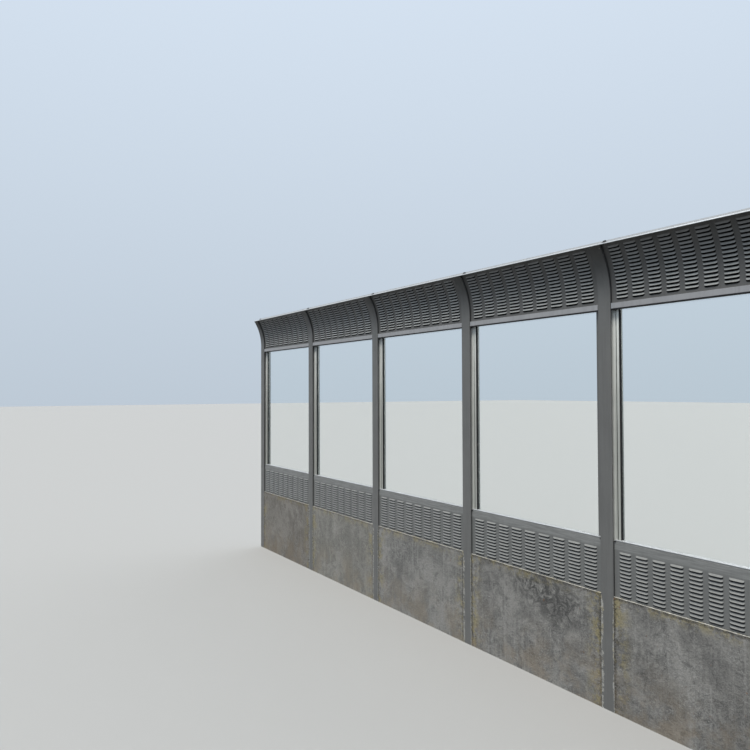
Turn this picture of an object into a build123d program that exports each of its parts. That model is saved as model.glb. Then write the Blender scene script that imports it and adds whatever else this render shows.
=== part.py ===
"""Roadside noise barrier: whole bays between H posts whose tops bend towards the road.

Frame: +X runs along the row, -Y is the road side, +Z is up, and the origin is the
centre of the first post's foot, at ground level. Sizes are in millimetres.
"""

import os
from math import asin, cos, degrees, radians, sin

from build123d import *

os.makedirs("parts", exist_ok=True)

# The row
bay_count = 5
bay_length = 2000.0

# Post, a rolled H section
post_width = 140.0
post_depth = 140.0
web_thickness = 7.0
flange_thickness = 12.0
bend_radius = 850.0

# Heights of what stands between two posts, from the ground up
concrete_height = 1050.0
panel_height = 500.0
glazing_height = 2148.0
rail_height = 32.0
panel_lead = 60.0
curved_panel_length = 565.0

# Louvre panels
panel_depth = 100.0
panel_end_gap = 12.0
louvre_rows = 12
louvre_pitch = 33.6
louvre_foot_margin = 12.0
curved_louvre_rows = 15
curved_louvre_foot_margin = 25.0
louvre_width = 151.0
last_bay_louvre_width = 124.0
louvre_land = 48.0
louvre_field_margin = 58.0
hood_depth = 10.0

# Glazing
frame_setback = 45.0
frame_depth = 60.0
stile_face = 55.0
frame_bar_height = 9.0
frame_end_gap = 12.0
mitre_gap = 0.5
groove_width = 9.0
groove_depth = 15.0
groove_offset = 25.0
gasket_thickness = 4.0
gasket_setback = 2.0
glass_thickness = 13.0
glass_setback = 24.0

# Rail under the curved panel, and the cap over everything
rail_setback = 3.0
rail_drop = 18.0
rail_end_gap = 2.0
nose_end_gap = 7.0
rail_back_gap = 4.0
cap_thickness = 4.0
cap_overhang = 6.0
cap_tilt = 21.0
cap_lip_height = 10.0
cap_joint_gap = 4.0

# Levels and planes that follow
panel_foot = concrete_height
glazing_foot = panel_foot + panel_height
rail_foot = glazing_foot + glazing_height
curved_foot = rail_foot + rail_height
spring_level = curved_foot + panel_lead
road_face = -post_depth / 2
channel_depth = post_depth - 2 * flange_thickness
channel_half = channel_depth / 2
panel_face = -panel_depth / 2
bend_centre = road_face - bend_radius
panel_radius = panel_face - bend_centre
bend_angle = degrees((curved_panel_length - panel_lead) / panel_radius)
clear_between_posts = bay_length - post_width
clear_between_webs = bay_length - web_thickness


def end_angle(radius):
    """Angle round the bend, in degrees, at which a given radius meets the plane under the cap."""
    reach = bend_radius * sin(radians(bend_angle - cap_tilt))
    return cap_tilt + degrees(asin(reach / radius))


# The plane under the cap: it starts at the bend's end on the post's road side
post_back_radius = bend_radius + post_depth
end_front = bend_centre + bend_radius * cos(radians(bend_angle))
end_level = spring_level + bend_radius * sin(radians(bend_angle))
end_back = bend_centre + post_back_radius * cos(radians(end_angle(post_back_radius)))
end_depth = (end_back - end_front) / cos(radians(cap_tilt))
end_plane = Plane(
    origin=(0, end_front, end_level),
    x_dir=(0, cos(radians(cap_tilt)), sin(radians(cap_tilt))),
    z_dir=(1, 0, 0),
)


def box(x_range, y_range, z_range):
    """A block between two limits along each axis."""
    lows, highs = zip(x_range, y_range, z_range)
    size = [high - low for low, high in zip(lows, highs)]
    return Pos(*lows) * Box(*size, align=(Align.MIN, Align.MIN, Align.MIN))


def h_section(level):
    """The post's section at one level: a rectangle less the channel on each side of the web."""
    channel_width = (post_width - web_thickness) / 2
    channel = Rectangle(channel_width, channel_depth)
    offset = (web_thickness + channel_width) / 2
    section = Rectangle(post_width, post_depth) - Pos(offset, 0) * channel
    section -= Pos(-offset, 0) * channel
    return Pos(0, 0, level) * section


def post():
    """Straight shaft from the ground to the spring, then a bend towards the road, cut off for the cap."""
    shaft = extrude(h_section(0), spring_level)
    bend_axis = Axis((0, bend_centre, spring_level), (1, 0, 0))
    bend = revolve(h_section(spring_level), bend_axis, bend_angle)
    above = end_plane * Rectangle(3 * post_depth, post_depth, align=(Align.CENTER, Align.MIN))
    return shaft + bend - Pos(-post_width, 0, 0) * extrude(above, 2 * post_width)


def concrete_wall():
    """Infill cast between two posts and keyed into their channels."""
    keyed = Rectangle(clear_between_webs, channel_depth)
    open_part = Rectangle(clear_between_posts, post_depth)
    return Pos(bay_length / 2, 0, 0) * extrude(keyed + open_part, concrete_height)


def flat_face_point(run, proud):
    """Point on the flat panel's road side, run above its foot and proud of its sheet."""
    return (panel_face - proud, panel_foot + run)


def curved_face_point(run, proud):
    """Point on the curved panel's road side: straight over the lead, then round the bend."""
    if run <= panel_lead:
        return (panel_face - proud, curved_foot + run)
    angle = (run - panel_lead) / panel_radius
    radius = panel_radius - proud
    return (bend_centre + radius * cos(angle), spring_level + radius * sin(angle))


def road_side(face_point, length, rows, foot_margin, louvred):
    """Edge of a panel's side view towards the road, with a hood open at its foot in each row."""
    points = [face_point(0, 0)]
    for row in range(rows):
        run = foot_margin + row * louvre_pitch
        points.append(face_point(run, 0))
        if louvred:
            points.append(face_point(run, hood_depth))
    points += [face_point(foot_margin + rows * louvre_pitch, 0), face_point(length, 0)]
    return Polyline(points)


def flat_side_view(louvred):
    """Side view of the lower panel through a louvre column or through a plain land."""
    front = road_side(flat_face_point, panel_height, louvre_rows, louvre_foot_margin, louvred)
    back = Polyline(front @ 1, (-panel_face, glazing_foot), (-panel_face, panel_foot), front @ 0)
    return Plane.YZ * make_face([front, back])


def curved_side_view(louvred):
    """Side view of the curved panel: its sheet turns a little at each row, its back is an arc."""
    front = road_side(
        curved_face_point,
        panel_lead + panel_radius * radians(end_angle(panel_radius)),
        curved_louvre_rows,
        curved_louvre_foot_margin,
        louvred,
    )
    back_radius = panel_radius + panel_depth
    back_arc = CenterArc((bend_centre, spring_level), back_radius, 0, end_angle(back_radius))
    end = Line(front @ 1, back_arc @ 1)
    foot = Polyline(back_arc @ 0, (-panel_face, curved_foot), front @ 0)
    return Plane.YZ * make_face([front, end, back_arc, foot])


def louvre_panel(side_view, width):
    """Panel with as many louvre columns of one width as fit, and plain lands between them."""
    field_start = post_width / 2 + louvre_field_margin
    field = bay_length - 2 * field_start
    columns = int((field + louvre_land) / (width + louvre_land))
    land_start = web_thickness / 2 + panel_end_gap
    panel_stop = bay_length - land_start
    column_view, land_view = side_view(True), side_view(False)
    slices = []
    for column in range(columns):
        start = field_start + column * (width + louvre_land)
        slices.append(Pos(land_start, 0, 0) * extrude(land_view, start - land_start))
        slices.append(Pos(start, 0, 0) * extrude(column_view, width))
        land_start = start + width
    slices.append(Pos(land_start, 0, 0) * extrude(land_view, panel_stop - land_start))
    return Part() + slices


frame_face = road_face + frame_setback
frame_back = frame_face + frame_depth
stile_inner = post_width / 2 + stile_face
stile_outer = web_thickness / 2 + frame_end_gap
glass_face = frame_face + glass_setback


def glazing_frame():
    """Aluminium frame: two stiles with a drainage groove, and a bar above and below."""
    stile = box((stile_outer, stile_inner), (frame_face, frame_back), (glazing_foot, rail_foot))
    groove_end = stile_inner - groove_offset
    stile -= box(
        (groove_end - groove_width, groove_end),
        (frame_face, frame_face + groove_depth),
        (glazing_foot, rail_foot),
    )
    opposite = Pos(bay_length, 0, 0) * mirror(stile, Plane.YZ)
    bar_ends = (stile_inner + mitre_gap, bay_length - stile_inner - mitre_gap)
    sill = box(bar_ends, (frame_face, frame_back), (glazing_foot, glazing_foot + frame_bar_height))
    head = box(bar_ends, (frame_face, frame_back), (rail_foot - frame_bar_height, rail_foot))
    return Compound([stile, opposite, sill, head])


def glass_pane():
    """Clear pane bedded between the gaskets."""
    ends = (stile_inner + mitre_gap, bay_length - stile_inner - mitre_gap)
    levels = (glazing_foot + frame_bar_height, rail_foot - frame_bar_height)
    return box(ends, (glass_face, glass_face + glass_thickness), levels)


def gasket():
    """Rubber ring that lines the frame in front of the pane."""
    ends = (stile_inner + mitre_gap, bay_length - stile_inner - mitre_gap)
    levels = (glazing_foot + frame_bar_height, rail_foot - frame_bar_height)
    depth = (frame_face + gasket_setback, glass_face)
    ring = box(ends, depth, levels)
    inner_ends = (ends[0] + gasket_thickness, ends[1] - gasket_thickness)
    inner_levels = (levels[0] + gasket_thickness, levels[1] - gasket_thickness)
    return ring - box(inner_ends, depth, inner_levels)


def panel_rail():
    """Bar that carries the curved panel: its nose drops between the flanges before the frame."""
    levels = (rail_foot, curved_foot)
    key_inset = web_thickness / 2 + rail_end_gap
    key_depth = channel_half - rail_back_gap
    key = box((key_inset, bay_length - key_inset), (-key_depth, key_depth), levels)
    nose_inset = post_width / 2 + nose_end_gap
    nose_ends = (nose_inset, bay_length - nose_inset)
    nose_levels = (rail_foot - rail_drop, curved_foot)
    nose = box(nose_ends, (road_face + rail_setback, -key_depth), nose_levels)
    return key + nose


def top_cap(start, stop):
    """Flashing over the posts' and panels' top ends, with its back edge turned up."""
    front = -cap_overhang
    back = end_depth + cap_overhang
    outline = Polyline(
        (front, 0),
        (back, 0),
        (back, cap_lip_height),
        (back - cap_thickness, cap_lip_height),
        (back - cap_thickness, cap_thickness),
        (front, cap_thickness),
        close=True,
    )
    return Pos(start, 0, 0) * extrude(end_plane * make_face(outline), stop - start)


def cap_ends(bay):
    """Caps meet over the posts, and the outer ones cover the end posts."""
    start = bay * bay_length + cap_joint_gap / 2
    stop = (bay + 1) * bay_length - cap_joint_gap / 2
    if bay == 0:
        start = -post_width / 2
    if bay == bay_count - 1:
        stop = bay_count * bay_length + post_width / 2
    return start, stop


def write(name, shape):
    """One file for each node."""
    export_step(shape, f"parts/{name}.step")


for index in range(bay_count + 1):
    write(f"post_{index + 1}", Pos(index * bay_length, 0, 0) * post())

louvre_widths = [louvre_width] * (bay_count - 1) + [last_bay_louvre_width]
lower_panels = {width: louvre_panel(flat_side_view, width) for width in set(louvre_widths)}
curved_panels = {width: louvre_panel(curved_side_view, width) for width in set(louvre_widths)}

for bay, width in enumerate(louvre_widths):
    place = Pos(bay * bay_length, 0, 0)
    write(f"concrete_wall_{bay + 1}", place * concrete_wall())
    write(f"lower_louvre_panel_{bay + 1}", place * lower_panels[width])
    write(f"glazing_frame_{bay + 1}", place * glazing_frame())
    write(f"glass_pane_{bay + 1}", place * glass_pane())
    write(f"panel_rail_{bay + 1}", place * panel_rail())
    write(f"curved_panel_{bay + 1}", place * curved_panels[width])
    write(f"top_cap_{bay + 1}", top_cap(*cap_ends(bay)))

gaskets = [Pos(bay * bay_length, 0, 0) * gasket() for bay in range(bay_count)]
write("glazing_gaskets", Compound(gaskets))
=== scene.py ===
"""Looks of a noise barrier section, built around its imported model. Sizes are in metres.

+X runs along the row, -Y is the front, over which the tops lean, and +Z is up.
"""

import math

import bpy
from mathutils import Matrix, Vector, noise


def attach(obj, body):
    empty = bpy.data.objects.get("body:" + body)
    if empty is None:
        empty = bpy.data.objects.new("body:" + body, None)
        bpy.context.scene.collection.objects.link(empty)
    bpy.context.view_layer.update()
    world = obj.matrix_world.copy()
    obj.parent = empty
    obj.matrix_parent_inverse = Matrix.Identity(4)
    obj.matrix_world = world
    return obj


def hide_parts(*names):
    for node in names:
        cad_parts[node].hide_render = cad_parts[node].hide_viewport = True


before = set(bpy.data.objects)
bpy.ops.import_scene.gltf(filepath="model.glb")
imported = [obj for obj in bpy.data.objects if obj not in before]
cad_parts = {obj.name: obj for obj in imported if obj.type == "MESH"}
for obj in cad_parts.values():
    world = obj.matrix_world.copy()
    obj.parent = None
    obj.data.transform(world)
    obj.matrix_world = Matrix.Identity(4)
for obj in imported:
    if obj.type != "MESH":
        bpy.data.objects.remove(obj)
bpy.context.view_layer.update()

# The row and its posts
bay_count = 5
bay_length = 2.0
post_width = 0.140
post_depth = 0.140
web_thickness = 0.007
flange_thickness = 0.012
root_fillet = 0.012
flange_edge_radius = 0.002
bend_radius = 0.850
post_bend_steps = 26
panel_bend_steps = 18

# Heights of what stands between two posts
concrete_height = 1.050
panel_height = 0.500
glazing_height = 2.148
rail_height = 0.032
rail_drop = 0.018
panel_lead = 0.060
curved_panel_length = 0.565
cap_tilt = math.radians(21)
cap_thickness = 0.004
cap_joint_gap = 0.004
rail_setback = 0.003
nose_end_gap = 0.007

# Glazing
frame_setback = 0.045
frame_depth = 0.060
glass_setback = 0.024
stile_face = 0.055
frame_bar_height = 0.009
gasket_thickness = 0.004
groove_offset = 0.025
groove_width = 0.009
groove_depth = 0.015

# Louvre panels
panel_depth = 0.100
panel_end_gap = 0.012
panel_edge_radius = 0.003
louvre_pitch = 0.0336
lower_rows = 12
lower_foot_margin = 0.012
curved_rows = 15
curved_foot_margin = 0.025
louvre_widths = [0.151, 0.151, 0.151, 0.151, 0.124]
field_margin = 0.058
louvre_land = 0.048
hood_depth = 0.0098
hood_lip = 0.0012
hood_end = 0.024
hood_lift = 0.008
hood_top = 0.0318
slot_depth = 0.009
slot_foot = 0.0010
slot_wall = 0.001
slot_top = 0.0156
slot_lift = hood_lift * 1.3
back_bead = 0.004

# Levels and planes that follow
half_post = post_width / 2
half_web = web_thickness / 2
channel_half = post_depth / 2 - flange_thickness
post_places = [index * bay_length for index in range(bay_count + 1)]
glazing_foot = concrete_height + panel_height
rail_foot = glazing_foot + glazing_height
curved_foot = rail_foot + rail_height
spring_level = curved_foot + panel_lead
front_face = -post_depth / 2
bend_centre = front_face - bend_radius
panel_face = -panel_depth / 2
panel_radius = panel_face - bend_centre
bend_angle = (curved_panel_length - panel_lead) / panel_radius
frame_face = front_face + frame_setback
frame_back = frame_face + frame_depth
glass_face = frame_face + glass_setback
stile_inner = half_post + stile_face
ledge = glazing_foot + frame_bar_height + gasket_thickness
nose_foot = rail_foot - rail_drop


# Materials


def scaled(colour, share):
    return tuple(part * share for part in colour)


class Look:
    """A procedural material: a Principled shader and short calls that add nodes to it."""

    def __init__(self, name):
        self.material = bpy.data.materials.new(name)
        self.material.use_nodes = True
        self.nodes = self.material.node_tree.nodes
        self.links = self.material.node_tree.links
        self.shader = self.nodes["Principled BSDF"]
        self.place = self.nodes.new("ShaderNodeTexCoord").outputs["Object"]

    def put(self, socket, value):
        """A number or colour goes on the socket, an output is linked to it."""
        if isinstance(value, bpy.types.NodeSocket):
            self.links.new(value, socket)
        elif isinstance(value, tuple) and len(value) == 3 and socket.type == "RGBA":
            socket.default_value = (*value, 1)
        else:
            socket.default_value = value

    def set(self, **inputs):
        for name, value in inputs.items():
            self.put(self.shader.inputs[name.replace("_", " ")], value)

    def vectors(self, operation, first, second):
        node = self.nodes.new("ShaderNodeVectorMath")
        node.operation = operation
        self.put(node.inputs[0], first)
        self.put(node.inputs[1], second)
        return node.outputs

    def stretched(self, scale):
        """Object coordinates, in metres, times a scale on each axis."""
        return self.vectors("MULTIPLY", self.place, scale)["Vector"]

    def apart(self, centre, stretch):
        """Distance from a point, with each axis scaled."""
        target = tuple(part * scale for part, scale in zip(centre, stretch))
        return self.vectors("DISTANCE", self.stretched(stretch), target)["Value"]

    def noise(self, scale, detail=4.0, roughness=0.55, stretch=None, distortion=0.0):
        node = self.nodes.new("ShaderNodeTexNoise")
        self.put(node.inputs["Vector"], self.stretched(stretch) if stretch else self.place)
        self.put(node.inputs["Scale"], scale)
        self.put(node.inputs["Detail"], detail)
        self.put(node.inputs["Roughness"], roughness)
        self.put(node.inputs["Distortion"], distortion)
        return node.outputs["Fac"]

    def cells(self, scale):
        node = self.nodes.new("ShaderNodeTexVoronoi")
        self.put(node.inputs["Vector"], self.place)
        self.put(node.inputs["Scale"], scale)
        return node.outputs["Distance"]

    def span(self, value, low, high, start=0.0, stop=1.0):
        """Value from low to high, taken to start to stop and held there outside."""
        node = self.nodes.new("ShaderNodeMapRange")
        node.interpolation_type = "SMOOTHSTEP"
        for socket, number in zip(node.inputs, (value, low, high, start, stop)):
            self.put(socket, number)
        return node.outputs["Result"]

    def math(self, operation, first, second=0.0, third=0.0):
        node = self.nodes.new("ShaderNodeMath")
        node.operation = operation
        for socket, value in zip(node.inputs, (first, second, third)):
            self.put(socket, value)
        return node.outputs[0]

    def times(self, first, second):
        return self.math("MULTIPLY", first, second)

    def away(self, value, middle):
        """How far a value is from a middle one, on either side."""
        return self.math("ABSOLUTE", self.math("SUBTRACT", value, middle))

    def mix(self, share, first, second):
        """Colour first where share is 0, second where it is 1."""
        node = self.nodes.new("ShaderNodeMix")
        node.data_type = "RGBA"
        self.put(node.inputs["Factor"], share)
        self.put(node.inputs[6], first)
        self.put(node.inputs[7], second)
        return node.outputs[2]

    def layer(self, tone, mask, strength, colour):
        """A colour laid over a tone where the mask is 1, as strongly as strength says."""
        return self.mix(self.times(mask, strength), tone, colour)

    def bump(self, height, distance):
        node = self.nodes.new("ShaderNodeBump")
        self.put(node.inputs["Height"], height)
        self.put(node.inputs["Distance"], distance)
        self.put(self.shader.inputs["Normal"], node.outputs["Normal"])

    def part(self, vector, axis):
        node = self.nodes.new("ShaderNodeSeparateXYZ")
        self.put(node.inputs[0], vector)
        return node.outputs[axis]

    def axis(self, name):
        """One object coordinate, in metres."""
        return self.part(self.place, name)

    def facing(self, name):
        """One part of the surface's normal, from -1 to 1."""
        return self.part(self.nodes.new("ShaderNodeNewGeometry").outputs["Normal"], name)

    def from_post(self):
        """Distance along the row to the nearest post's centre."""
        return self.math("PINGPONG", self.axis("X"), bay_length / 2)

    def upward(self):
        """1 on faces that look up, 0 on upright and hanging ones."""
        return self.span(self.facing("Z"), 0.25, 0.95)

    def shade_under_cap(self):
        """0 up to the spring and on the back, growing to 1 on the front under the cap, where painted shade
        goes.
        """
        in_front = self.span(self.facing("Y"), 0.1, -0.1)
        return self.times(in_front, self.span(self.axis("Z"), spring_level + 0.05, spring_level + 0.50))


def paint(
    name,
    colour,
    roughness=0.52,
    dust=(0.27, 0.26, 0.24),
    painted_shade=0.4,
    shade_shares=(0.130, 0.120, 0.108),
    paler_top=0.0,
):
    """Satin coat with rain streaks, dust on ledges, painted shade on the front of the bend under the cap and
    a slight orange peel.
    """
    look = Look(name)
    blotches = look.span(look.noise(3.0, 6.0), 0.35, 0.7)
    streaks = look.span(look.noise(1.0, 5.0, 0.6, stretch=(38, 38, 1.6)), 0.42, 0.75)
    tone = look.mix(blotches, colour, scaled(colour, 1.10))
    tone = look.layer(tone, streaks, 0.55, scaled(colour, 0.80))
    specks = look.span(look.noise(240.0, 2.0), 0.66, 0.74)
    tone = look.layer(tone, specks, 0.22, dust)
    settled = look.span(look.noise(22.0, 4.0), 0.3, 0.7, 0.25, 0.75)
    tone = look.layer(tone, look.upward(), settled, dust)
    # Painted shade: the front of the bend under the cap is darkened toward a share of the coat's colour.
    shaded_colour = tuple(part * share for part, share in zip(colour, shade_shares))
    tone = look.layer(tone, look.shade_under_cap(), painted_shade, shaded_colour)
    if paler_top:
        # Paler in streaks along the top strip of the flat sheets.
        strip = look.span(look.axis("Z"), glazing_foot - 0.085, glazing_foot - 0.060)
        top_streaks = look.span(look.noise(1.0, 6.0, 0.7, stretch=(5, 5, 95)), 0.38, 0.62, 0.25, 1.0)
        tone = look.layer(tone, look.times(strip, top_streaks), paler_top, scaled(colour, 2))
    gloss = look.span(look.noise(9.0), 0.3, 0.7, roughness - 0.06, roughness + 0.1)
    look.set(Base_Color=tone, Roughness=gloss)
    look.bump(look.noise(420.0, 2.0), 0.0002)
    return look.material


def post_paint():
    """Coat of the posts, with painted shade on the front of their bent tops."""
    return paint("post_paint", (0.113, 0.113, 0.109), painted_shade=0.95, shade_shares=(0.062, 0.055, 0.048))


def panel_paint():
    """Coat of the flat sheets, paler in streaks along the top."""
    return paint("panel_paint", (0.125, 0.127, 0.123), paler_top=0.62)


def shaded_panel_paint():
    """Coat of the curved sheets, darker than the flat sheets' coat as painted shade, with more painted shade
    under the cap.
    """
    return paint("panel_paint_painted_shade", (0.103, 0.101, 0.096), dust=(0.20, 0.19, 0.17), painted_shade=0.62)


def hood_paint():
    """Coat of the flat panels' hoods, paler than the sheet round them as painted light."""
    return paint("hood_paint", (0.152, 0.155, 0.150), 0.42)


def curved_hood_paint():
    """Coat of the curved panels' hoods, much paler than the sheet round them as painted light, with painted
    shade under the cap.
    """
    colour = (0.283, 0.290, 0.283)
    return paint("curved_hood_paint", colour, 0.60, painted_shade=0.44, shade_shares=(0.26, 0.12, 0.02))


def fleece(name, dark, light):
    """Inside of the louvres: fleece over the filling, made in a paler copy as painted light and a near black
    copy as painted shade.
    """
    look = Look(name)
    fibres = look.span(look.noise(300.0, 3.0), 0.3, 0.7)
    tone = look.mix(fibres, (dark, dark, dark), (light, light, light))
    look.set(Base_Color=tone, Roughness=0.95, Specular_IOR_Level=0.15)
    return look.material


def rail_paint():
    """Light coat of the rails."""
    return paint("rail_paint", (0.308, 0.308, 0.314))


def aluminium():
    """Satin anodised extrusion, pale at the top and darker downwards as a painted reflection of the sky, and
    paler beside the flanges as painted light.
    """
    look = Look("frame_aluminium")
    drawn = look.noise(1.0, 4.0, 0.6, stretch=(900, 900, 3))
    weather = look.span(look.noise(7.0, 6.0), 0.4, 0.75)
    # Painted reflection and light: the darker tone's share grows downwards and shrinks beside the flanges.
    film = look.span(look.axis("Z"), rail_foot - 1.30, rail_foot + 0.05, 1.0, 0.0)
    film = look.times(film, look.span(look.from_post(), 0.066, 0.082, 0.35, 1.0))
    tone = look.mix(film, (0.82, 0.834, 0.784), (0.385, 0.394, 0.364))
    tone = look.layer(tone, weather, 0.25, (0.34, 0.35, 0.32))
    settled = look.span(look.noise(30.0), 0.35, 0.65, 0.1, 0.45)
    tone = look.layer(tone, look.upward(), settled, (0.45, 0.43, 0.39))
    look.set(Base_Color=tone, Metallic=0.1, Roughness=look.span(drawn, 0.3, 0.7, 0.42, 0.58))
    look.bump(drawn, 0.0001)
    return look.material


def cap_metal():
    """Bright folded sheet, dulled in patches, with a painted highlight on the cap's upright edges."""
    look = Look("cap_galvanised")
    patches = look.span(look.cells(26.0), 0.1, 0.7)
    dulled = look.span(look.noise(5.0, 6.0), 0.45, 0.8)
    tone = look.mix(patches, (0.325, 0.335, 0.34), (0.28, 0.29, 0.30))
    tone = look.layer(tone, dulled, 0.5, (0.23, 0.23, 0.22))
    # Painted highlight: upright faces above the spring are lightened.
    upright = look.span(look.upward(), 0.0, 1.0, 1.0, 0.0)
    above_spring = look.span(look.axis("Z"), spring_level, spring_level + 0.3)
    tone = look.layer(tone, upright, above_spring, (0.50, 0.51, 0.515))
    look.set(Base_Color=tone, Metallic=0.2, Roughness=look.span(patches, 0.0, 1.0, 0.38, 0.5))
    look.bump(look.noise(60.0), 0.0002)
    return look.material


def clear_glass():
    """Clear pane with a faint film of dust in patches."""
    look = Look("pane_glass")
    film = look.span(look.noise(5.0, 7.0, 0.7), 0.45, 0.8, 0.0, 0.05)
    look.set(Base_Color=(0.95, 0.975, 0.965), Roughness=film, IOR=1.5, Transmission_Weight=1.0)
    return look.material


def rubber():
    """Black seals, chalky in patches."""
    look = Look("gasket_rubber")
    chalk = look.span(look.noise(60.0, 5.0), 0.5, 0.8)
    look.set(Base_Color=look.mix(chalk, (0.007, 0.007, 0.008), (0.022, 0.022, 0.021)), Roughness=0.75)
    look.bump(look.noise(500.0, 2.0), 0.0001)
    return look.material


def zinc():
    """Plated bolts and washers, with rust starting in spots."""
    look = Look("bolt_zinc")
    rust = look.span(look.noise(160.0, 4.0), 0.6, 0.7)
    look.set(
        Base_Color=look.mix(rust, (0.13, 0.13, 0.135), (0.15, 0.065, 0.030)),
        Metallic=look.span(rust, 0, 1, 0.9, 0.1),
        Roughness=look.span(rust, 0, 1, 0.38, 0.85),
    )
    return look.material


def cast_tone(look, grain, mottle):
    """Colour of the cast faces: clouds, damp, dark patches, rain streaks and wisps of lime."""
    clouds = look.span(look.noise(2.6, 9.0, 0.70, distortion=0.8), 0.43, 0.60)
    tone = look.mix(clouds, (0.226, 0.219, 0.202), (0.116, 0.113, 0.107))
    damp = look.span(look.noise(0.9, 3.0, 0.5), 0.42, 0.62)
    tone = look.layer(tone, damp, 0.35, (0.095, 0.092, 0.086))
    soaked = look.span(look.noise(1.4, 4.0), 0.50, 0.62)
    flecks = look.span(look.noise(19.0, 6.0, 0.7), 0.42, 0.56)
    tone = look.layer(tone, look.times(soaked, flecks), 0.6, (0.050, 0.049, 0.046))
    patches = look.span(look.noise(6.0, 9.0, 0.74, distortion=0.8), 0.50, 0.63)
    tone = look.layer(tone, patches, 0.80, (0.064, 0.062, 0.059))
    tone = look.layer(tone, mottle, 0.30, (0.088, 0.086, 0.082))
    streaks = look.span(look.noise(1.0, 7.0, 0.66, stretch=(26, 26, 1.3)), 0.50, 0.70)
    tone = look.layer(tone, streaks, 0.36, (0.32, 0.31, 0.29))
    veins = look.span(look.away(look.noise(6.5, 6.0, 0.62, distortion=2.2), 0.5), 0.0, 0.03, 1.0, 0.0)
    wisps = look.times(veins, look.span(look.noise(2.1, 3.0), 0.42, 0.58))
    tone = look.layer(tone, wisps, 0.42, (0.37, 0.365, 0.345))
    tone = look.layer(tone, grain, 0.28, (0.38, 0.37, 0.345))
    return clouds, tone


def edge_stains(look, tone):
    """Earth, dirt and crumbled cement beside the posts and under the top edge, and rust in spots."""
    beside_post = look.span(look.from_post(), 0.07, 0.30, 1.0, 0.0)
    brow = look.span(look.axis("Z"), concrete_height - 0.12, concrete_height, 0.0, 1.0)
    border = look.math("MAXIMUM", beside_post, look.times(brow, 0.8))
    earthy = look.times(border, look.span(look.noise(8.0, 9.0, 0.75), 0.47, 0.57))
    tone = look.layer(tone, earthy, 0.85, (0.262, 0.222, 0.108))
    soiled = look.times(border, look.span(look.noise(23.0, 8.0, 0.75), 0.50, 0.62))
    tone = look.layer(tone, soiled, 0.75, (0.060, 0.053, 0.043))
    joint = look.span(look.from_post(), 0.074, 0.112, 1.0, 0.0)
    lip = look.span(look.axis("Z"), concrete_height - 0.035, concrete_height - 0.012, 0.0, 0.8)
    corner = look.math("MAXIMUM", joint, lip)
    grime = look.times(corner, look.span(look.noise(34.0, 6.0, 0.7), 0.38, 0.54))
    tone = look.layer(tone, grime, 0.75, (0.055, 0.050, 0.042))
    crumbled = look.times(corner, look.span(look.noise(80.0, 5.0, 0.8), 0.49, 0.55))
    tone = look.layer(tone, crumbled, 0.92, (0.014, 0.013, 0.011))
    rust = look.span(look.noise(17.0, 3.0, 0.5), 0.70, 0.76)
    return look.layer(tone, rust, 0.6, (0.17, 0.080, 0.035))


# Dark stains on the fourth wall's front: their centres, and how much each axis narrows them
stain_places = [
    ((7.38, front_face, 0.80), (1.0, 5.0, 1.9)),
    ((7.05, front_face, 0.93), (1.1, 5.0, 3.0)),
]
# Earthy and grey tints of the first three walls, and their shares
wall_tints = [
    ((0.130, 0.105, 0.075), 0.30),
    ((0.25, 0.24, 0.195), 0.20),
    ((0.25, 0.25, 0.235), 0.12),
]


def concrete():
    """Weathered cast concrete: clouds, dark stains, dirty edges, splashes, the walls' own tints and pores."""
    look = Look("wall_concrete")
    grain = look.span(look.noise(110.0, 6.0, 0.75), 0.42, 0.62)
    mottle = look.span(look.noise(34.0, 8.0, 0.75), 0.44, 0.60)
    clouds, tone = cast_tone(look, grain, mottle)
    blots = look.span(look.noise(11.0, 9.0, 0.78, distortion=0.9), 0.43, 0.56)
    for centre, stretch in stain_places:
        spread = look.span(look.apart(centre, stretch), 0.10, 0.64, 0.92, 0.0)
        tone = look.layer(tone, spread, blots, (0.050, 0.049, 0.047))
    tone = edge_stains(look, tone)
    low = look.span(look.axis("Z"), 0.05, 0.70, 1.0, 0.0)
    splash = look.times(low, look.span(look.noise(2.6, 8.0, 0.7), 0.42, 0.60))
    tone = look.layer(tone, splash, 0.55, (0.215, 0.172, 0.120))
    for bay, (tint, share) in enumerate(wall_tints):
        off_middle = look.away(look.axis("X"), (bay + 0.5) * bay_length)
        tone = look.mix(look.span(off_middle, 0.90, 1.0, share, 0.0), tone, tint)
    pores = look.span(look.cells(55.0), 0.10, 0.17, 1.0, 0.0)
    sparse = look.times(pores, look.span(look.noise(11.0, 2.0), 0.52, 0.6))
    tone = look.layer(tone, sparse, 0.75, (0.040, 0.038, 0.035))
    look.set(Base_Color=tone, Roughness=look.span(clouds, 0.0, 1.0, 0.86, 0.94))
    height = look.math("MULTIPLY_ADD", grain, 0.5, mottle)
    look.bump(look.math("SUBTRACT", height, look.times(sparse, 2.0)), 0.0015)
    return look.material


def lime():
    """Dried cement slurry that ran over the posts' edges, stained and worn through in places."""
    look = Look("cement_slurry")
    mottle = look.span(look.noise(45.0, 6.0, 0.7), 0.3, 0.7)
    tone = look.mix(mottle, (0.17, 0.165, 0.150), (0.38, 0.375, 0.35))
    stained = look.span(look.noise(9.0, 6.0, 0.7), 0.52, 0.60)
    tone = look.layer(tone, stained, 0.6, (0.24, 0.205, 0.115))
    worn = look.span(look.noise(33.0, 6.0, 0.75), 0.52, 0.58)
    tone = look.layer(tone, worn, 0.85, (0.090, 0.090, 0.086))
    look.set(Base_Color=tone, Roughness=0.92)
    look.bump(mottle, 0.0006)
    return look.material


def floor_look():
    look = Look("studio_floor")
    look.set(Base_Color=(0.245, 0.245, 0.24), Roughness=0.9)
    return look.material


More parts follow.
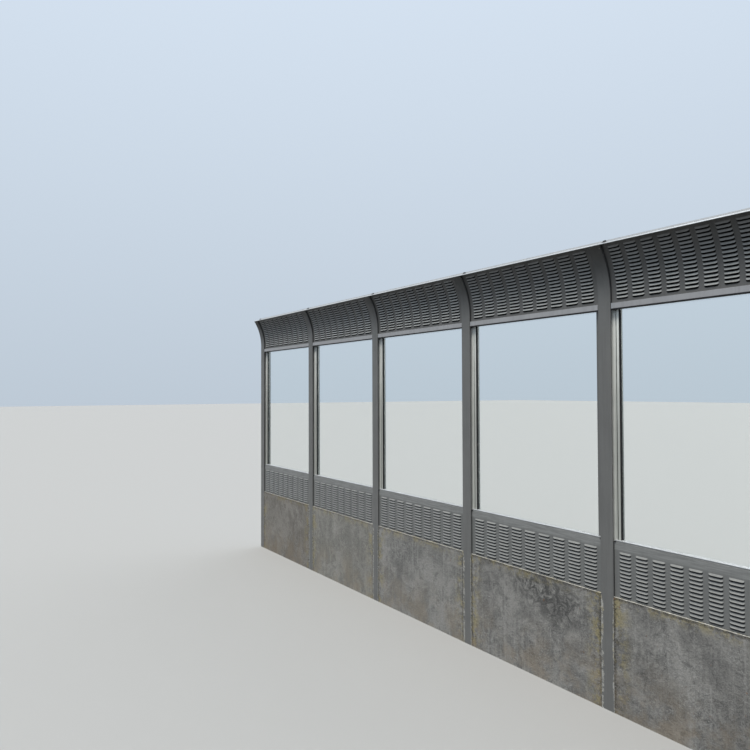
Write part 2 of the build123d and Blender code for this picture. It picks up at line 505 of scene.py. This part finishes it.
looks = {
    "post": post_paint(),
    "panel": panel_paint(),
    "shade": shaded_panel_paint(),
    "hood": hood_paint(),
    "curved_hood": curved_hood_paint(),
    # Painted light and shade: the flat panels' slots get a paler fleece, the curved panels' slots a near
    # black one.
    "slot": fleece("slot_fleece", 0.050, 0.090),
    "shaded_slot": fleece("shaded_slot_fleece", 0.004, 0.010),
    "rail": rail_paint(),
    "frame": aluminium(),
    "cap": cap_metal(),
    "glass": clear_glass(),
    "rubber": rubber(),
    "bolt": zinc(),
    "concrete": concrete(),
    "lime": lime(),
}


# Shapes


def piece(name, points, faces, materials, smooth, replaces=None, face_materials=None):
    """A mesh on the row's one body. Edges under smooth, an angle in degrees, are shaded round."""
    mesh = bpy.data.meshes.new(name)
    mesh.from_pydata([tuple(point) for point in points], [], faces)
    for key in materials:
        mesh.materials.append(looks[key])
    if face_materials:
        mesh.polygons.foreach_set("material_index", face_materials)
    mesh.polygons.foreach_set("use_smooth", [True] * len(faces))
    mesh.set_sharp_from_angle(angle=math.radians(smooth))
    mesh.update()
    made = bpy.data.objects.new(name, mesh)
    bpy.context.scene.collection.objects.link(made)
    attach(made, "root")
    if replaces:
        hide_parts(replaces)


def add_swept(points, faces, outline, rings, flip=False):
    """Add a closed outline carried through rings, each a function of (x, y), with both ends closed."""
    first, count = len(points), len(outline)
    for ring in rings:
        points += [ring(x, y) for x, y in outline]
    last = len(points) - count
    added = []
    for start in range(first, last, count):
        for index in range(count):
            low, following = start + index, start + (index + 1) % count
            added.append((low, following, following + count, low + count))
    added.append(tuple(range(first, first + count))[::-1])
    added.append(tuple(range(last, last + count)))
    faces += [face[::-1] for face in added] if flip else added


def end_angle(radius):
    """Angle round the bend at which a radius meets the plane under the cap."""
    return cap_tilt + math.asin(bend_radius * math.sin(bend_angle - cap_tilt) / radius)


def bent(x, y, run):
    """Point at depth y, run along the panel's face above the spring, and not above the cap's plane."""
    if run <= 0:
        return (x, y, spring_level + run)
    radius = y - bend_centre
    angle = min(run / panel_radius, end_angle(radius))
    return (x, bend_centre + radius * math.cos(angle), spring_level + radius * math.sin(angle))


def rounded(corners, steps):
    """Closed outline with each (x, y, radius) corner turned by an arc."""
    outline = []
    for index, (x, y, radius) in enumerate(corners):
        corner = Vector((x, y))
        before = (Vector(corners[index - 1][:2]) - corner).normalized()
        after = (Vector(corners[(index + 1) % len(corners)][:2]) - corner).normalized()
        start, stop = corner + before * radius, corner + after * radius
        centre = start + stop - corner
        for step in range(steps + 1):
            turn = math.pi / 2 * step / steps
            outline.append(centre + (start - centre) * math.cos(turn) + (stop - centre) * math.sin(turn))
    return outline


def beside_posts(ends=(-1, 1)):
    """Each post's centre with each side of it, -1 or 1 along the row, on which a bay stands."""
    for place in post_places:
        for end in ends:
            if 0 <= place + end * bay_length <= post_places[-1]:
                yield place, end


# Posts: the rolled section with its root fillets, bent round the top


def post_outline():
    """H section, anticlockwise from its front right corner."""
    outer = post_depth / 2
    right = [
        (half_post, -outer, flange_edge_radius),
        (half_post, -channel_half, flange_edge_radius),
        (half_web, -channel_half, root_fillet),
        (half_web, channel_half, root_fillet),
        (half_post, channel_half, flange_edge_radius),
        (half_post, outer, flange_edge_radius),
    ]
    left = [(-x, -y, radius) for x, y, radius in right]
    return rounded(right + left, steps=4)


def bend_runs(steps):
    """Runs along the panel's face, from above the spring to just under the cap's plane."""
    whole = (end_angle(bend_radius + post_depth) - 0.01) * panel_radius
    return [whole * (step + 1) / steps for step in range(steps)]


past_cap = 1.1 * bend_angle * panel_radius
post_runs = [-spring_level, -panel_lead / 2, 0.0] + bend_runs(post_bend_steps) + [past_cap]
for index, place in enumerate(post_places):
    rings = [lambda x, y, run=run: bent(place + x, y, run) for run in post_runs]
    points, faces = [], []
    add_swept(points, faces, post_outline(), rings)
    piece(
        f"bent_post_{index + 1}", points, faces, ["post"],
        smooth=35, replaces=f"post_{index + 1}",
    )


# Louvre panels: one sheet with pressed hoods and dark slots, folded round into a box

sheet_look, slot_look, hood_look = 0, 1, 2


def along_columns(width):
    """Samples along the panel as (x from the bay's first post, how far into a hood, 0 to 1)."""
    start = half_web + panel_end_gap
    stop = bay_length - start
    field_start = half_post + field_margin
    field = bay_length - 2 * field_start
    columns = round((field + louvre_land) / (width + louvre_land))
    shares = [0.0, 0.08, 0.20, 0.36, 0.56, 0.78, 1.0]
    samples = [(start, 0.0), (start + panel_edge_radius, 0.0)]
    for column in range(columns):
        left = field_start + column * (width + louvre_land)
        for share in shares:
            samples.append((left + share * hood_end, math.sqrt(1 - (1 - share) ** 2)))
        samples.append((left + width / 2, 1.0))
        for share in reversed(shares):
            samples.append((left + width - share * hood_end, math.sqrt(1 - (1 - share) ** 2)))
    return samples + [(stop - panel_edge_radius, 0.0), (stop, 0.0)]


def up_rows(length, rows, foot_margin):
    """Samples up the panel: (height, proud inside a hood, lift at its ends, look of the strip above)."""
    samples = [(0.0, 0.0, 0.0, sheet_look), (panel_edge_radius, 0.0, 0.0, sheet_look)]
    for row in range(rows):
        foot = foot_margin + row * louvre_pitch
        samples.append((foot + slot_foot, 0.0, slot_lift, slot_look))
        samples.append((foot + slot_foot + slot_wall, -slot_depth, slot_lift, slot_look))
        samples.append((foot + slot_top, -slot_depth, hood_lift, slot_look))
        samples.append((foot + slot_top, hood_depth - hood_lip, hood_lift, hood_look))
        samples.append((foot + slot_top + hood_lip / 2, hood_depth, hood_lift, hood_look))
        for share in (0.2, 0.4, 0.6, 0.8):
            height = foot + slot_top + share * (hood_top - slot_top)
            samples.append((height, hood_depth * (1 - share), hood_lift * (1 - share), hood_look))
        samples.append((foot + hood_top, 0.0, 0.0, sheet_look))
    samples.append((length - panel_edge_radius, 0.0, 0.0, sheet_look))
    return samples + [(length, 0.0, 0.0, sheet_look)]


def back_edges(length, steps):
    """Heights of the back sheet's edges as (height, proud), with two pressed beads."""
    edges = [(length * step / steps, 0.0) for step in range(steps + 1)]
    half_bead = [(0.004, 1.0), (0.009, 0.6), (0.012, 0.0)]
    for middle in (length * 0.3, length * 0.7):
        for off, share in half_bead:
            edges += [(middle - off, share * back_bead), (middle + off, share * back_bead)]
    return sorted(edges)


def louvre_panel(name, node, materials, bay, length, rows, foot_margin, surface, back_steps):
    """surface(x, height, proud) gives the point on the panel's front, or proud of it."""
    across, up = along_columns(louvre_widths[bay]), up_rows(length, rows, foot_margin)
    origin = bay * bay_length
    points, faces, kinds = [], [], []
    for row, (height, proud, lift, _) in enumerate(up):
        for column, (x, inside) in enumerate(across):
            on_rim = column in (0, len(across) - 1) or row in (0, len(up) - 1)
            rim = -panel_edge_radius if on_rim else 0.0
            points.append(surface(origin + x, height + lift * (1 - inside), proud * inside + rim))
    count = len(across)
    for row in range(len(up) - 1):
        for column in range(count - 1):
            low = row * count + column
            faces.append((low, low + 1, low + 1 + count, low + count))
            inside = across[column][1] + across[column + 1][1] > 0
            kinds.append(up[row][3] if inside else sheet_look)
    left, right = origin + across[0][0], origin + across[-1][0]
    first_back = len(points)
    for height, proud in back_edges(length, back_steps):
        points.append(surface(left, height, -panel_depth - proud))
        points.append(surface(right, height, -panel_depth - proud))
    last_back = len(points) - 2
    for index in range(first_back, last_back, 2):
        faces.append((index + 1, index, index + 2, index + 3))
    front_top = (len(up) - 1) * count
    faces.append(tuple(range(count))[::-1] + (first_back, first_back + 1))
    faces.append(tuple(range(front_top, front_top + count)) + (last_back + 1, last_back))
    lefts = [row * count for row in range(len(up))]
    rights = [row * count + count - 1 for row in range(len(up))]
    backs = list(range(first_back, last_back + 1, 2))
    faces.append(tuple(lefts + backs[::-1]))
    faces.append(tuple(rights[::-1] + [index + 1 for index in backs]))
    kinds += [sheet_look] * (len(faces) - len(kinds))
    piece(name, points, faces, materials, smooth=13, replaces=node, face_materials=kinds)


def lower_surface(x, height, proud):
    return (x, panel_face - proud, concrete_height + height)


def curved_surface(x, height, proud):
    return bent(x, panel_face - proud, height - panel_lead)


curved_front = panel_lead + panel_radius * end_angle(panel_radius)
for bay in range(bay_count):
    number = bay + 1
    louvre_panel(
        f"pressed_panel_{number}", f"lower_louvre_panel_{number}", ["panel", "slot", "hood"],
        bay, panel_height, lower_rows, lower_foot_margin, lower_surface, back_steps=1,
    )
    louvre_panel(
        f"pressed_curved_panel_{number}", f"curved_panel_{number}", ["shade", "shaded_slot", "curved_hood"],
        bay, curved_front, curved_rows, curved_foot_margin, curved_surface, back_steps=panel_bend_steps,
    )


# Concrete: cast walls with crumbled top edges, and the slurry that ran over the posts

wall_play = 0.0005
wall_end_gap = 0.001
wall_end_slant = 0.0006
wall_steps = 84
wall_levels = 48
shelf_half_depth = 0.046
shelf_drop = 0.0004
concrete_look, lime_look = 0, 1


def rough(x, y, z, scale):
    """Smooth noise from -1 to 1."""
    return noise.noise(Vector((x, y, z)) * scale)


def wall_columns():
    """Samples along a wall as (x from the bay's first post, half its depth), keyed into both channels."""
    face, key = post_depth / 2 - wall_play, channel_half - wall_play
    near = half_post + wall_end_gap
    length = bay_length - 2 * near
    ends = (half_web + wall_play, near - wall_end_slant)
    columns = [(end, key) for end in ends]
    columns += [(near + length * step / wall_steps, face) for step in range(wall_steps + 1)]
    return columns + [(bay_length - end, key) for end in reversed(ends)]


def wall_point(x, side, half_depth, level):
    """Point of a wall's face: uneven outside the channels, and crumbled along the top."""
    z = concrete_height * level / wall_levels
    if half_depth < channel_half:
        return (x, side * half_depth, z)
    sunk = 0.0012 + 0.0010 * rough(x, side, z, 2.2) + 0.0005 * rough(x, side, z, 11)
    if level == wall_levels:
        sunk += 0.0015 + 0.0015 * rough(x, side, 5.0, 25)
        z -= 0.002 + 0.005 * max(0.0, rough(x, side, 7.0, 13)) + 0.0015 * rough(x, side, 3, 60)
    return (x, side * (half_depth - sunk), z)


def cast_wall(number):
    """Wall keyed into both channels, with uneven faces and a crumbled edge along its top."""
    origin = (number - 1) * bay_length
    columns = wall_columns()
    count = len(columns)
    points, faces = [], []
    for side in (-1, 1):
        for level in range(wall_levels + 1):
            points += [wall_point(origin + x, side, half_depth, level) for x, half_depth in columns]
    back = count * (wall_levels + 1)
    for level in range(wall_levels):
        for column in range(count - 1):
            low = level * count + column
            faces.append((low, low + 1, low + 1 + count, low + count))
            low += back
            faces.append((low, low + count, low + 1 + count, low + 1))
    shelf = len(points)
    for side in (-1, 1):
        points += [(origin + x, side * shelf_half_depth, concrete_height - shelf_drop) for x, _ in columns]
    kinds = [concrete_look] * len(faces)
    front_top, back_top = wall_levels * count, back + wall_levels * count
    top_rows = (front_top, shelf, shelf + count, back_top)
    for column in range(count - 1):
        for start, stop in zip(top_rows, top_rows[1:]):
            faces.append((start + column, start + column + 1, stop + column + 1, stop + column))
        faces.append((column, back + column, back + column + 1, column + 1))
        kinds += [lime_look] + [concrete_look] * 3
    for column, flip in ((0, False), (count - 1, True)):
        side_front = [level * count + column for level in range(wall_levels + 1)]
        side_back = [back + index for index in side_front]
        loop = side_front + [shelf + column, shelf + count + column] + side_back[::-1]
        faces.append(tuple(loop[::-1] if flip else loop))
    kinds += [concrete_look] * 2
    piece(
        f"cast_wall_{number}", points, faces, ["concrete", "lime"],
        smooth=40, replaces=f"concrete_wall_{number}", face_materials=kinds,
    )


slurry_levels = 150
slurry_top = concrete_height - 0.012
# Least lap over a flange, and how far the waves add to it on a post's left and right
slurry_least_lap = 0.004
slurry_laps = {-1: 0.036, 1: 0.016}


def slurry_section(place, end, level):
    """Points across a skin at one level, from the wall's face over the flange's edge and front."""
    z = slurry_top * level / slurry_levels
    edge = place + end * half_post
    fade = min(1.0, (slurry_levels - level) / 8 + 0.15)
    wave = 0.45 + 0.55 * rough(place + end, 0.0, z, 6.0) + 0.45 * rough(place, end, z, 27.0)
    wave += 0.25 * rough(place, end + 5.0, z, 90.0)
    lap = (slurry_least_lap + slurry_laps[end] * max(0.0, wave)) * fade
    swell = 0.0012 + 0.0008 * rough(place, end, z, 45.0)
    return [
        (edge + end * 0.006, front_face + 0.0008, z),
        (edge + end * 0.001, front_face - swell, z),
        (edge - end * lap * 0.55, front_face - swell, z),
        (edge - end * lap * 0.92, front_face - swell * 0.6, z),
        (edge - end * lap, front_face + 0.0003, z),
    ]


def slurry():
    """Thin skins of cement that lap over the posts' front flanges along both edges of each wall."""
    points, faces, kinds = [], [], []
    for place, end in beside_posts():
        first = len(points)
        sections = [slurry_section(place, end, level) for level in range(slurry_levels + 1)]
        points += sum(sections, [])
        count = len(sections[0])
        for level in range(slurry_levels):
            for column in range(count - 1):
                low = first + level * count + column
                quad = (low, low + 1, low + 1 + count, low + count)
                faces.append(quad[::-1] if end > 0 else quad)
                kinds.append(lime_look if column > 0 else concrete_look)
    piece(
        "slurry_skins", points, faces, ["concrete", "lime"],
        smooth=60, face_materials=kinds,
    )


for number in range(1, bay_count + 1):
    cast_wall(number)
slurry()


# Trim: flashings, seals, rail sleeves and plugs

# Clearances between the trim and what it lies against, and the sizes of its small pieces
play = 0.0004
close_play = 0.0002
trim_inset = 0.004
seam_round = 0.0016
drip_height = 0.0052
rail_seal_height = 0.011
sleeve_gauge = 0.0008
sleeve_length = 0.020
channel_reach = 0.040
plug_length = 0.020
plug_depth = 0.004
plug_half_height = 0.006


def bars(name, profile, spans, look):
    """One piece made of straight bars: a (y, z) profile carried along each (from, to) span of x."""
    points, faces = [], []
    for span in spans:
        rings = [lambda y, z, x=x: (x, y, z) for x in span]
        add_swept(points, faces, profile, rings, flip=True)
    piece(name, points, faces, [look], smooth=30)


def uprights(name, profile, levels, look, ends=(-1, 1)):
    """One piece made of upright bars: an (x, y) profile carried between two levels beside each post."""
    points, faces = [], []
    for place, end in beside_posts(ends):
        rings = [lambda x, y, z=z: (place + end * x, y, z) for z in levels]
        add_swept(points, faces, profile, rings, flip=end < 0)
    piece(name, points, faces, [look], smooth=30)


def between_posts(inset):
    """Spans along the row from post to post, each end held back from its post's centre."""
    return [(place + inset, place + bay_length - inset) for place in post_places[:-1]]


def flashing(back):
    """Thin ledge with a turned-down front edge, sloping up to a back edge."""
    return [
        (panel_face - 0.0010, ledge - drip_height),
        (panel_face - 0.0012, ledge - 0.0016),
        (panel_face + 0.0004, ledge - 0.0002),
        (back - 0.0006, ledge + 0.0014),
        (back - 0.0006, ledge + 0.0004),
        (panel_face + 0.0006, ledge - 0.0012),
        (panel_face + 0.0002, ledge - 0.0016),
        (panel_face + 0.0002, ledge - drip_height),
    ]


def channel_lip(reach, slant, rise):
    """Rubber between a flange's back and a panel's face: an (x, y) profile with a slanted corner."""
    front, back = -channel_half + close_play, panel_face - play
    return [
        (channel_reach, front),
        (reach - slant, front),
        (reach, front + rise),
        (reach, back),
        (channel_reach, back),
    ]


between_flanges = between_posts(half_post + trim_inset)
end_length = stile_face - 2 * trim_inset
before_stiles = []
for start, stop in between_flanges:
    before_stiles += [(start, start + end_length), (stop - end_length, stop)]

seam_front, seam_back = panel_face + play, frame_face - play
bars(
    "seam_covers",
    [
        (seam_front, glazing_foot + close_play),
        (seam_front, ledge - 2 * seam_round),
        (seam_front + seam_round, ledge - seam_round),
        (seam_back, ledge - seam_round / 2),
        (seam_back, glazing_foot + close_play),
    ],
    between_flanges, "panel",
)
bars("sill_flashings", flashing(glass_face), between_posts(stile_inner - trim_inset), "cap")
bars("sill_flashing_ends", flashing(frame_face), before_stiles, "cap")
bars(
    "rail_seals",
    [
        (front_face + 0.0050, nose_foot - close_play),
        (front_face + 0.0055, nose_foot - 0.0085),
        (front_face + 0.0080, nose_foot - rail_seal_height),
        (frame_face - 0.0030, nose_foot - rail_seal_height),
        (frame_face - 0.0006, nose_foot - 0.0085),
        (frame_face - 0.0006, nose_foot - close_play),
    ],
    between_flanges, "rubber",
)

rail_front = front_face + rail_setback
sleeve_front, sleeve_back = rail_front - 0.0010, rail_front + 0.0128
sleeve_start = half_post + nose_end_gap + close_play
bars(
    "rail_sleeves",
    [
        (sleeve_front, nose_foot - sleeve_gauge),
        (sleeve_front, curved_foot - 0.0006),
        (rail_front, curved_foot + sleeve_gauge),
        (sleeve_back, curved_foot + sleeve_gauge),
        (sleeve_back, curved_foot),
        (rail_front, curved_foot),
        (rail_front, nose_foot),
        (sleeve_back, nose_foot),
        (sleeve_back, nose_foot - sleeve_gauge),
    ],
    [(place + sleeve_start, place + sleeve_start + sleeve_length) for place in post_places[:-1]],
    "cap",
)
uprights(
    "panel_seals", channel_lip(reach=0.0720, slant=0.0040, rise=0.0020),
    (concrete_height + 0.002, glazing_foot - 0.002), "rubber",
)
uprights(
    "frame_wedges",
    [
        (0.030, frame_back + play),
        (0.062, frame_back + play),
        (0.066, frame_back + 0.0060),
        (0.060, channel_half - play),
        (0.030, channel_half - play),
    ],
    (glazing_foot + 0.004, rail_foot - 0.004), "rubber",
)

insert_right = stile_inner - groove_offset - close_play
insert_left = stile_inner - groove_offset - groove_width + close_play
insert_front = frame_face + 0.003
insert_back = frame_face + groove_depth - close_play
uprights(
    "groove_inserts",
    [
        (insert_left, insert_front),
        (insert_right, insert_front),
        (insert_right, insert_back),
        (insert_left, insert_back),
    ],
    (glazing_foot + 0.001, rail_foot - 0.001), "rubber",
)

seal_edge = stile_inner + gasket_thickness
under_rail_seal = nose_foot - rail_seal_height - 0.001
# Wide black beads beside the panes: partly a real sealant bead, partly a dark strip standing for painted
# shade along the panes' edges.
uprights(
    "glazing_seals",
    [
        (seal_edge - 0.0010, glass_face - 0.0040),
        (seal_edge + 0.0030, glass_face - 0.0032),
        (seal_edge + 0.0060, glass_face - close_play),
        (seal_edge - 0.0010, glass_face - close_play),
    ],
    (ledge + 0.001, under_rail_seal), "rubber",
)
uprights(
    "closing_strips",
    [
        (half_post + 0.0005, frame_face - 0.0016),
        (stile_inner - 0.0010, frame_face - 0.0016),
        (stile_inner, frame_face - 0.0006),
        (stile_inner, frame_face - close_play),
        (half_post + 0.0005, frame_face - close_play),
    ],
    (ledge + 0.002, under_rail_seal), "post", ends=(-1,),
)
uprights(
    "corner_plugs",
    [
        (half_post, panel_face - plug_depth),
        (half_post + plug_length, panel_face - plug_depth),
        (half_post + plug_length, panel_face),
        (half_post, panel_face),
    ],
    (glazing_foot - plug_half_height, glazing_foot + plug_half_height), "rubber",
)


def curved_seals():
    """Rubber lips that close the gap between each curved panel's ends and the flanges in front."""
    points, faces = [], []
    profile = channel_lip(reach=0.0745, slant=0.0035, rise=0.0024)
    runs = [-panel_lead + 0.002, 0.0] + bend_runs(panel_bend_steps)
    for place, end in beside_posts():
        rings = [lambda x, y, run=run: bent(place + end * x, y, run) for run in runs]
        add_swept(points, faces, profile, rings, flip=end < 0)
    piece("curved_seals", points, faces, ["rubber"], smooth=30)


curved_seals()


# Clips, bolts and seams on the cap

clip_start, clip_width = 0.058, 0.028
clip_front, clip_back = 0.050, 0.082
clip_height, clip_gauge = 0.015, 0.003
bolt_along, across_flats = 0.064, 0.013
bolt_radius = 0.0040
washer_top, head_top, bolt_top = 0.0016, 0.0088, 0.0132
head_chamfer, bolt_chamfer = 0.0010, 0.0008
cap_normal = Vector((0, -math.sin(cap_tilt), math.cos(cap_tilt)))


def on_cap(x, along, above):
    """Point on the cap's top, along its slope from the post's front, and above it."""
    height = cap_thickness + above
    y = bend_centre + bend_radius * math.cos(bend_angle)
    z = spring_level + bend_radius * math.sin(bend_angle)
    y += along * math.cos(cap_tilt) - height * math.sin(cap_tilt)
    z += along * math.sin(cap_tilt) + height * math.cos(cap_tilt)
    return Vector((x, y, z))


def cap_bar(points, faces, profile, span):
    """Add a bar that lies on the cap: an (along, above) profile carried over a span of x."""
    rings = [lambda along, above, x=x: on_cap(x, along, above + close_play) for x in span]
    add_swept(points, faces, profile, rings)


def hex_bolt(points, faces, place):
    """Add a washer, a hexagon head with a chamfer, and the bolt's end, upright on the cap."""
    turn = Vector((0, 0, 1)).rotation_difference(cap_normal)
    corner = across_flats / math.sqrt(3)
    washer = [(corner * 1.5, 0.0), (corner * 1.5, washer_top)]
    head = [(corner, washer_top), (corner, head_top - head_chamfer), (corner * 0.88, head_top)]
    shank = [
        (bolt_radius, head_top),
        (bolt_radius, bolt_top - bolt_chamfer),
        (bolt_radius - bolt_chamfer, bolt_top),
    ]
    for sides, levels in ((24, washer), (6, head), (16, shank)):
        angles = [2 * math.pi * side / sides for side in range(sides)]
        circle = [(math.cos(angle), math.sin(angle)) for angle in angles]
        rings = [
            lambda x, y, radius=radius, z=z: place + turn @ Vector((x * radius, y * radius, z))
            for radius, z in levels
        ]
        add_swept(points, faces, circle, rings)


def cap_clips():
    """Angle clips on the cap beside each post: a foot with a bolt through it and an upright leg."""
    profile = [
        (clip_front, 0.0),
        (clip_back, 0.0),
        (clip_back, clip_height),
        (clip_back - clip_gauge, clip_height),
        (clip_back - clip_gauge, clip_gauge),
        (clip_front, clip_gauge),
    ]
    points, faces = [], []
    for place in post_places[:-1]:
        start = place + clip_start
        cap_bar(points, faces, profile, (start, start + clip_width))
        hex_bolt(points, faces, on_cap(start + clip_width / 2, bolt_along, clip_gauge + play))
    piece("cap_clips", points, faces, ["bolt"], smooth=30)


def cap_seams():
    """Raised seam along each length of cap, folded from the sheet's middle."""
    profile = [
        (0.0880, 0.0),
        (0.0885, 0.0060),
        (0.0900, 0.0072),
        (0.0925, 0.0072),
        (0.0940, 0.0060),
        (0.0945, 0.0),
    ]
    points, faces = [], []
    for span in between_posts(cap_joint_gap):
        cap_bar(points, faces, profile, span)
    piece("cap_seams", points, faces, ["cap"], smooth=50)


cap_clips()
cap_seams()


# Nodes of the model that keep their shape


def dress(node, look):
    """Put a material on a node that keeps its shape."""
    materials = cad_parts[node].data.materials
    materials.clear()
    materials.append(looks[look])


def round_edges(node):
    """Give a node that keeps its shape a small round on its edges."""
    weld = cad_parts[node].modifiers.new("joined_edges", "WELD")
    weld.merge_threshold = 0.00005
    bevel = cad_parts[node].modifiers.new("edge_round", "BEVEL")
    bevel.width = 0.0012
    bevel.segments = 2
    bevel.limit_method = "ANGLE"
    bevel.angle_limit = math.radians(40)
    bevel.use_clamp_overlap = True


for number in range(1, bay_count + 1):
    for node, look in (("glazing_frame", "frame"), ("panel_rail", "rail"), ("top_cap", "cap")):
        dress(f"{node}_{number}", look)
        round_edges(f"{node}_{number}")
    dress(f"glass_pane_{number}", "glass")
dress("glazing_gaskets", "rubber")


# Floor, light and camera

floor_half = 150.0
floor_mesh = bpy.data.meshes.new("floor")
corners = [(x * floor_half, y * floor_half, 0) for x, y in ((-1, -1), (1, -1), (1, 1), (-1, 1))]
floor_mesh.from_pydata(corners, [], [(0, 1, 2, 3)])
floor_mesh.materials.append(floor_look())
floor = bpy.data.objects.new("floor", floor_mesh)
floor.visible_diffuse = False
bpy.context.scene.collection.objects.link(floor)


def studio():
    """Pale surround above the floor, and only a faint light from below."""
    world = bpy.data.worlds.new("studio")
    bpy.context.scene.world = world
    world.use_nodes = True
    nodes, links = world.node_tree.nodes, world.node_tree.links
    split = nodes.new("ShaderNodeSeparateXYZ")
    links.new(nodes.new("ShaderNodeTexCoord").outputs["Generated"], split.inputs[0])
    height = nodes.new("ShaderNodeMapRange")
    height.inputs["From Min"].default_value = -0.12
    links.new(split.outputs["Z"], height.inputs["Value"])
    ramp = nodes.new("ShaderNodeValToRGB")
    links.new(height.outputs["Result"], ramp.inputs["Fac"])
    below, horizon = ramp.color_ramp.elements
    below.position = 0.0
    below.color = (0.06, 0.06, 0.06, 1)
    horizon.position = 0.05
    horizon.color = (0.50, 0.575, 0.655, 1)
    top = ramp.color_ramp.elements.new(0.55)
    top.color = (0.66, 0.755, 0.87, 1)
    links.new(ramp.outputs["Color"], nodes["Background"].inputs["Color"])


studio()
bpy.context.scene.view_settings.view_transform = "Standard"


def sun(name, energy, toward, spread, color):
    """A soft light from far off, looking along a direction. spread is its width in degrees."""
    data = bpy.data.lights.new(name, "SUN")
    data.energy = energy
    data.angle = math.radians(spread)
    data.color = color
    made = bpy.data.objects.new(name, data)
    made.rotation_euler = Vector(toward).to_track_quat("-Z", "Y").to_euler()
    bpy.context.scene.collection.objects.link(made)


sun("key", 5.1, (-0.16, 0.32, -0.93), 24, (1.0, 0.968, 0.912))
sun("fill", 1.1, (0.15, -0.80, -0.58), 60, (0.95, 0.975, 1.0))

# The camera as fitted to the photograph, with its turns in radians
camera_place = Vector((12.342, -5.315, 2.928))
yaw, pitch, roll = 0.5615, 0.0232, -0.0033
focal_pixels = 698.5
picture_pixels = 750
sensor_width = 36
look_along = Vector((-math.cos(yaw) * math.cos(pitch), math.sin(yaw) * math.cos(pitch), math.sin(pitch)))
level_right = look_along.cross(Vector((0, 0, 1))).normalized()
level_up = level_right.cross(look_along)
right = level_right * math.cos(roll) + level_up * math.sin(roll)
up = level_up * math.cos(roll) - level_right * math.sin(roll)
camera_data = bpy.data.cameras.new("camera")
camera_data.sensor_width = sensor_width
camera_data.lens = sensor_width * focal_pixels / picture_pixels
camera = bpy.data.objects.new("camera", camera_data)
turn = Matrix((right, up, -look_along)).transposed().to_4x4()
camera.matrix_world = Matrix.Translation(camera_place) @ turn
bpy.context.scene.collection.objects.link(camera)
bpy.context.scene.camera = camera
